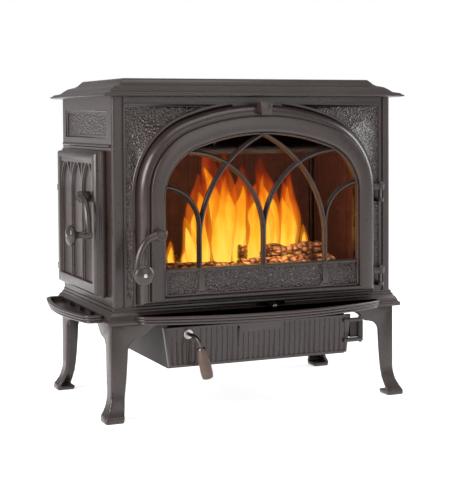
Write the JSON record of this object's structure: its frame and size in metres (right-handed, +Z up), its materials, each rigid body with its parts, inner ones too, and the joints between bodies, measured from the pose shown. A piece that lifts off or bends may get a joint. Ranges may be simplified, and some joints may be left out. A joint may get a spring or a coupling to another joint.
{
  "type": "wood burning stove",
  "caption": "Free-standing cast-iron wood stove with an arched glazed front door, a side loading door, an ash door, curved legs and a rear flue collar.",
  "frame": {"origin": "on the floor, under the middle of the whole stove, handles, ash lips and flue collar included", "axes": "+X towards the stove's own left as seen from the front (viewer's right), +Y towards the back, +Z up; the front door faces -Y"},
  "size_m": [0.7861, 0.5406, 0.724],
  "materials": {
    "iron_enamel": "satin enamel",
    "sheet_steel": "matt black",
    "fire_iron": "burnt, dull",
    "fastener": "plain steel",
    "dark_steel": "blackened",
    "rope": "woven glass rope",
    "glass": "clear ceramic glass",
    "log_wood": "bark and charred wood",
    "grip_wood": "turned and oiled"
  },
  "bodies": {
    "stove_body": {"air_manifold": "sheet_steel", "ash_hinge_bracket": "sheet_steel", "ash_hinge_pin": "dark_steel", "ash_housing": "sheet_steel", "ash_pan": "sheet_steel", "baffle_plate": "fire_iron", "base_plinth": "iron_enamel", "collar_bolts": "fastener", "cross_log": "log_wood", "flue_collar": "iron_enamel", "front_ash_lip": "iron_enamel", "front_hinge_pins": "dark_steel", "front_logs": "log_wood", "front_plate": "iron_enamel", "grate": "fire_iron", "left_burn_plate": "fire_iron", "left_side_plate": "iron_enamel", "leg_bolts": "fastener", "leg_front_left": "iron_enamel", "leg_front_right": "iron_enamel", "leg_rear_left": "iron_enamel", "leg_rear_right": "iron_enamel", "lip_screws": "fastener", "log_retainer": "fire_iron", "rear_burn_plate": "fire_iron", "rear_logs": "log_wood", "rear_plate": "iron_enamel", "right_burn_plate": "fire_iron", "right_side_plate": "iron_enamel", "side_ash_lip": "iron_enamel", "side_hinge_pins": "dark_steel", "tie_rods": "dark_steel", "top_plate": "iron_enamel"},
    "front_door": {"front_door_frame": "iron_enamel", "arch_keystone": "iron_enamel", "door_tracery": "iron_enamel", "door_glass": "glass", "glass_gasket": "rope", "glass_clips": "dark_steel", "clip_screws": "fastener", "front_door_gasket": "rope"},
    "front_handle": {"front_handle_knob": "iron_enamel", "front_handle_latch": "dark_steel", "front_handle_lever": "iron_enamel", "front_handle_screw": "fastener", "front_handle_shaft": "dark_steel"},
    "side_door": {"side_door": "iron_enamel", "side_door_gasket": "rope"},
    "side_handle": {"side_handle_knob": "iron_enamel", "side_handle_latch": "dark_steel", "side_handle_lever": "iron_enamel", "side_handle_screw": "fastener", "side_handle_shaft": "dark_steel"},
    "ash_door": {"ash_door": "iron_enamel", "ash_door_gasket": "rope"},
    "ash_handle": {"ash_handle_grip": "grip_wood", "ash_handle_latch": "dark_steel", "ash_handle_rod": "dark_steel", "ash_handle_washer": "fastener"},
    "air_lever": {"air_lever": "dark_steel"}
  },
  "joints": [
    {"name": "front_door_hinge", "type": "hinge", "parent": "stove_body", "child": "front_door", "pos_m": [0.3355, -0.1707, 0.38], "axis": [0, 0, 1], "range_deg": [0, 110]},
    {"name": "front_handle_turn", "type": "hinge", "parent": "front_door", "child": "front_handle", "pos_m": [-0.2155, -0.2027, 0.396], "axis": [0, 1, 0], "range_deg": [0, 70]},
    {"name": "side_door_hinge", "type": "hinge", "parent": "stove_body", "child": "side_door", "pos_m": [-0.3125, 0.1863, 0.38], "axis": [0, 0, -1], "range_deg": [0, 110]},
    {"name": "side_handle_turn", "type": "hinge", "parent": "side_door", "child": "side_handle", "pos_m": [-0.3255, -0.0817, 0.472], "axis": [-1, 0, 0], "range_deg": [0, 70]},
    {"name": "ash_door_hinge", "type": "hinge", "parent": "stove_body", "child": "ash_door", "pos_m": [0.2845, -0.1682, 0.16], "axis": [0, 0, 1], "range_deg": [0, 100]},
    {"name": "ash_handle_turn", "type": "hinge", "parent": "ash_door", "child": "ash_handle", "pos_m": [-0.1355, -0.1697, 0.177], "axis": [0, 1, 0], "range_deg": [0, 80]},
    {"name": "air_lever_slide", "type": "slide", "parent": "stove_body", "child": "air_lever", "axis": [1, 0, 0], "range_m": [-0.02, 0.03]}
  ]
}
